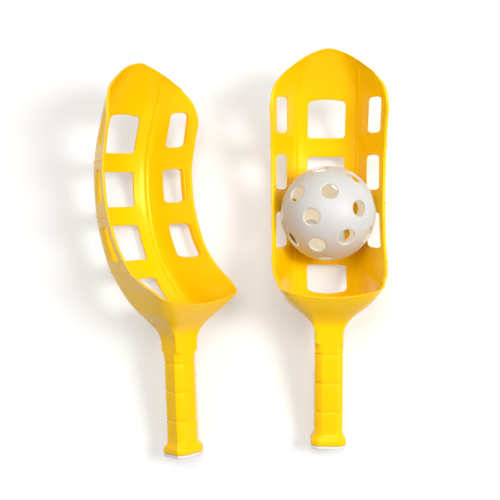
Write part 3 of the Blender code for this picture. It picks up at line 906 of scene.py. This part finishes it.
def hole_directions():
    """Middles of the ball's holes: a pole, a ring round it and a belt, in each half."""
    directions = []
    for half in (1, -1):
        turn = 0.0 if half == 1 else 180 / BELT_RING[0]
        directions.append(Vector((0, 0, half)))
        for (count, tilt), offset in ((POLE_RING, 180 / BELT_RING[0]), (BELT_RING, 0.0)):
            for i in range(count):
                a = math.radians(turn + offset + 360 * i / count)
                t = math.radians(tilt)
                directions.append(Vector((math.sin(t) * math.cos(a), math.sin(t) * math.sin(a),
                                          half * math.cos(t))))
    return directions


def hole_points(holes):
    """Rings of points round each hole: where they lie outside, how deep, and where inside.

    The last value is the hole's number for the ring on its very edge, and -1 for all others.
    """
    radius = BALL_HOLE / 2
    inner_radius = BALL_RADIUS - BALL_WALL
    profile = [(0.0, HOLE_ROUND)]
    for t in (math.radians(angle) for angle in EDGE_TURNS):
        profile.append((HOLE_ROUND * (1 - math.cos(t)), HOLE_ROUND * (1 - math.sin(t))))
    profile += [(away, 0.0) for away in OUTER_RINGS]
    points = []
    for index, hole in enumerate(holes):
        side = hole.orthogonal().normalized()
        other = hole.cross(side)
        for level, (away, drop) in enumerate(profile):
            staggered = 0.5 if level == len(profile) - 1 else 0.0
            for i in range(HOLE_STEPS):
                a = 2 * math.pi * (i + staggered) / HOLE_STEPS
                around = side * math.cos(a) + other * math.sin(a)
                tilt = math.asin((radius + away) / BALL_RADIUS)
                inner_tilt = math.asin((radius + away) / inner_radius)
                direction = hole * math.cos(tilt) + around * math.sin(tilt)
                within = hole * math.cos(inner_tilt) + around * math.sin(inner_tilt)
                points.append((direction, drop, within, index if level == 0 else -1))
    return points


def points_between(holes):
    """Evenly spread points on the ball wherever no hole's rings lie."""
    golden = math.pi * (3 - math.sqrt(5))
    reach = math.cos(math.asin((BALL_HOLE / 2 + OUTER_RINGS[-1] + RING_MARGIN) / BALL_RADIUS))
    points = []
    for i in range(BALL_POINTS):
        z = 1 - 2 * (i + 0.5) / BALL_POINTS
        r = math.sqrt(1 - z * z)
        direction = Vector((r * math.cos(golden * i), r * math.sin(golden * i), z))
        if max(direction.dot(hole) for hole in holes) < reach:
            points.append((direction, 0.0, direction, -1))
    return points


def hull_triangles(directions):
    """Triangles that join points on a sphere, as numbers of the points."""
    hull = bmesh.new()
    verts = [hull.verts.new(direction) for direction in directions]
    hull.verts.index_update()
    bmesh.ops.convex_hull(hull, input=verts)
    triangles = [tuple(v.index for v in f.verts) for f in hull.faces]
    hull.free()
    return triangles


def build_ball_mesh():
    """Thin ball whose holes have rounded edges: rings of points round each hole, joined up."""
    holes = hole_directions()
    points = hole_points(holes) + points_between(holes)
    bm = bmesh.new()
    outer = [bm.verts.new(direction * (BALL_RADIUS - drop) * MM)
             for direction, drop, _, _ in points]
    inner = [bm.verts.new(within * (BALL_RADIUS - BALL_WALL + drop * INNER_ROUND) * MM)
             for _, drop, within, _ in points]
    for a, b, c in hull_triangles([p[0] for p in points]):
        if points[a][3] >= 0 and points[a][3] == points[b][3] == points[c][3]:
            continue
        bm.faces.new((outer[a], outer[b], outer[c]))
        bm.faces.new((inner[c], inner[b], inner[a]))
    match = dict(zip(outer, inner))
    for edge in [e for e in bm.edges if e.is_boundary and e.verts[0] in match]:
        a, b = edge.verts
        bm.faces.new((a, b, match[b], match[a]))
    remove_loose(bm)
    bmesh.ops.recalc_face_normals(bm, faces=bm.faces)
    return finished_mesh(bm, "ball", BALL_SHARP_ANGLE)


def node(tree, kind, **values):
    """A shader node with some of its inputs set by name."""
    made = tree.nodes.new(kind)
    for name, value in values.items():
        made.inputs[name.replace("_", " ")].default_value = value
    return made


def math_node(tree, kind, operation, first, second):
    """A node that works on two sockets, or on a socket and a fixed value; returns its output."""
    made = tree.nodes.new(kind)
    made.operation = operation
    for socket, value in zip(made.inputs, (first, second)):
        if isinstance(value, bpy.types.NodeSocket):
            tree.links.new(value, socket)
        else:
            socket.default_value = value
    return made.outputs


def ranged(tree, value, low, high, source=(0.0, 1.0)):
    """A value spread from one range over another one."""
    spread = node(tree, "ShaderNodeMapRange", From_Min=source[0], From_Max=source[1],
                  To_Min=low, To_Max=high)
    tree.links.new(value, spread.inputs["Value"])
    return spread.outputs["Result"]


def noise(tree, place, scale, detail):
    """The value of a noise in the object's own space."""
    made = node(tree, "ShaderNodeTexNoise", Scale=scale, Detail=detail)
    tree.links.new(place.outputs["Object"], made.inputs["Vector"])
    return made.outputs["Fac"]


def plastic(name, base, lighter, roughness, spread, grain, grain_depth, tint, through=0.0):
    """Moulded plastic: slow colour drift, uneven gloss and a fine surface grain."""
    material = bpy.data.materials.new(name)
    material.use_nodes = True
    tree = material.node_tree
    shader = tree.nodes["Principled BSDF"]
    place = tree.nodes.new("ShaderNodeTexCoord")
    colour = tree.nodes.new("ShaderNodeMix")
    colour.data_type = "RGBA"
    colour.inputs[6].default_value = (*base, 1)
    colour.inputs[7].default_value = (*lighter, 1)
    tree.links.new(noise(tree, place, DRIFT_SCALE, 2.0), colour.inputs[0])
    tree.links.new(colour.outputs[2], shader.inputs["Base Color"])
    gloss = noise(tree, place, GLOSS_SCALE, 3.0)
    tree.links.new(ranged(tree, gloss, roughness - spread, roughness + spread),
                   shader.inputs["Roughness"])
    bump = node(tree, "ShaderNodeBump", Strength=0.5, Distance=grain_depth * MM)
    tree.links.new(noise(tree, place, grain, 2.0), bump.inputs["Height"])
    tree.links.new(bump.outputs["Normal"], shader.inputs["Normal"])
    shader.inputs["Metallic"].default_value = 0.0
    shader.inputs["IOR"].default_value = 1.5
    shader.inputs["Specular Tint"].default_value = (*tint, 1)
    if through:
        shader.inputs["Subsurface Weight"].default_value = through
        shader.inputs["Subsurface Radius"].default_value = THROUGH_REACH
        shader.inputs["Subsurface Scale"].default_value = 1.0
    return material


def painted_glow_within(material, centre):
    """Painted glow: a warm emission on the ball's inside that stands in for the daylight coming
    through its thin wall.
    """
    tree = material.node_tree
    shader = tree.nodes["Principled BSDF"]
    place = tree.nodes.new("ShaderNodeTexCoord")
    away = math_node(tree, "ShaderNodeVectorMath", "DISTANCE", place.outputs["Object"], centre)
    wall = ((BALL_RADIUS - PAINTED_GLOW_MARGIN) * MM, (BALL_RADIUS - BALL_WALL) * MM)
    # painted glow: none on the outside, full on the inside
    shader.inputs["Emission Color"].default_value = (*PAINTED_GLOW_COLOUR, 1)
    tree.links.new(ranged(tree, away["Value"], 0.0, PAINTED_GLOW_STRENGTH, wall),
                   shader.inputs["Emission Strength"])


def place_matrix(place, order):
    """World matrix of a piece: on the ground, turned by its three angles."""
    location, angles = place
    turn = Euler([math.radians(a) for a in angles], order)
    shift = (Vector(location) + Vector(GROUND)) * MM
    return Matrix.Translation(shift) @ turn.to_matrix().to_4x4()


def add_piece(name, mesh, matrix, material, cad_node):
    """Puts a copy of a mesh in its place, in one material, for the solid that it shows."""
    mesh = mesh.copy()
    mesh.name = name
    mesh.materials.clear()
    mesh.materials.append(material)
    mesh.transform(matrix)
    piece = bpy.data.objects.new(name, mesh)
    bpy.context.scene.collection.objects.link(piece)
    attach(piece, "root")
    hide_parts(cad_node)


def seen_rays(tree):
    """1 for rays from the camera and for those that reach it through gloss or glass."""
    path = tree.nodes.new("ShaderNodeLightPath")
    result = path.outputs["Is Camera Ray"]
    for kind in ("Is Glossy Ray", "Is Transmission Ray"):
        result = math_node(tree, "ShaderNodeMath", "MAXIMUM", result, path.outputs[kind])[0]
    return result


def add_floor():
    """Large pale floor that keeps the soft shadows and is white to the camera."""
    bpy.ops.mesh.primitive_plane_add(size=FLOOR_SIZE)
    floor = bpy.context.object
    floor.name = "floor"
    material = bpy.data.materials.new("white_floor")
    material.use_nodes = True
    tree = material.node_tree
    tree.nodes.clear()
    out = tree.nodes.new("ShaderNodeOutputMaterial")
    matt = node(tree, "ShaderNodeBsdfDiffuse", Color=(*FLOOR_COLOUR, 1))
    lift = node(tree, "ShaderNodeEmission", Color=(1, 1, 1, 1))
    geometry = tree.nodes.new("ShaderNodeNewGeometry")
    away = math_node(tree, "ShaderNodeVectorMath", "DISTANCE", geometry.outputs["Position"],
                     (0, 0, 0))
    strength = ranged(tree, away["Value"], FLOOR_LIFT, 1.0, (FADE_START, FADE_END))
    share = math_node(tree, "ShaderNodeMath", "MULTIPLY", strength, seen_rays(tree))
    tree.links.new(share[0], lift.inputs["Strength"])
    both = tree.nodes.new("ShaderNodeAddShader")
    tree.links.new(matt.outputs[0], both.inputs[0])
    tree.links.new(lift.outputs[0], both.inputs[1])
    tree.links.new(both.outputs[0], out.inputs["Surface"])
    floor.data.materials.append(material)


def add_lights():
    """Soft studio light, strongest from the right, so that the shadows fall to the left."""
    for name, azimuth, elevation, size, power in LIGHTS:
        a = math.radians(azimuth)
        e = math.radians(elevation)
        away = Vector((math.sin(a) * math.cos(e), math.cos(a) * math.cos(e), math.sin(e)))
        lamp = bpy.data.lights.new(name, "AREA")
        lamp.shape = "DISK"
        lamp.size = size
        lamp.energy = power
        lamp.color = LIGHT_COLOUR
        holder = bpy.data.objects.new(name, lamp)
        bpy.context.scene.collection.objects.link(holder)
        holder.location = LIGHT_AIM + away * LIGHT_DISTANCE
        holder.rotation_euler = (-away).to_track_quat("-Z", "Y").to_euler()


def add_world():
    """Weak warm light from all round, and white behind everything."""
    world = bpy.data.worlds.new("studio")
    bpy.context.scene.world = world
    world.use_nodes = True
    tree = world.node_tree
    back = tree.nodes["Background"]
    back.inputs["Color"].default_value = (*WORLD_COLOUR, 1)
    back.inputs["Strength"].default_value = WORLD_STRENGTH
    white = node(tree, "ShaderNodeBackground", Color=(1, 1, 1, 1), Strength=1.0)
    choice = tree.nodes.new("ShaderNodeMixShader")
    tree.links.new(seen_rays(tree), choice.inputs[0])
    tree.links.new(back.outputs[0], choice.inputs[1])
    tree.links.new(white.outputs[0], choice.inputs[2])
    tree.links.new(choice.outputs[0], tree.nodes["World Output"].inputs["Surface"])


def add_camera():
    """The photo's camera: nearly overhead, a little towards the handles."""
    data = bpy.data.cameras.new("camera")
    data.lens = CAMERA_LENS
    data.sensor_width = CAMERA_SENSOR
    data.clip_end = CAMERA_REACH
    camera = bpy.data.objects.new("camera", data)
    bpy.context.scene.collection.objects.link(camera)
    camera.location = [a * MM for a in CAMERA_PLACE]
    camera.rotation_euler = [math.radians(a) for a in CAMERA_TURN]
    bpy.context.scene.camera = camera


def main():
    """Two scoops with their caps from shared meshes, the ball, and the studio."""
    scoop = build_scoop_mesh()
    cap = build_cap_mesh()
    for side, place, slot_end in (("right", RIGHT_PLACE, ""), ("left", LEFT_PLACE, "_left")):
        matrix = place_matrix(place, "YXZ")
        add_piece(side + "_scoop_shell", scoop, matrix, plastic(side + "_yellow", **YELLOW),
                  side + "_scoop")
        add_piece(side + "_cap_plate", cap, matrix, plastic(side + "_white", **WHITE),
                  side + "_end_cap")
    matrix = place_matrix(BALL_PLACE, "XYZ")
    skin = plastic("ball_white", **BALL_WHITE)
    # painted glow on the ball's inside, standing in for light through its wall
    painted_glow_within(skin, matrix.translation)
    add_piece("ball_shell", build_ball_mesh(), matrix, skin, "ball")
    add_floor()
    add_lights()
    add_world()
    add_camera()


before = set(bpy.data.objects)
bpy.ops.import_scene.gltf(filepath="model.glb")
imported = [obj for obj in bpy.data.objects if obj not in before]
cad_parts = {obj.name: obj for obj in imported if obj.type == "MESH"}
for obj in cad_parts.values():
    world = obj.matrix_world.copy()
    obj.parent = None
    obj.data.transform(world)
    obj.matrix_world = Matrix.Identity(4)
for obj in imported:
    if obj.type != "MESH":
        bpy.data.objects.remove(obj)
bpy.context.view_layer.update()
bpy.context.scene.view_settings.view_transform = "Standard"
main()
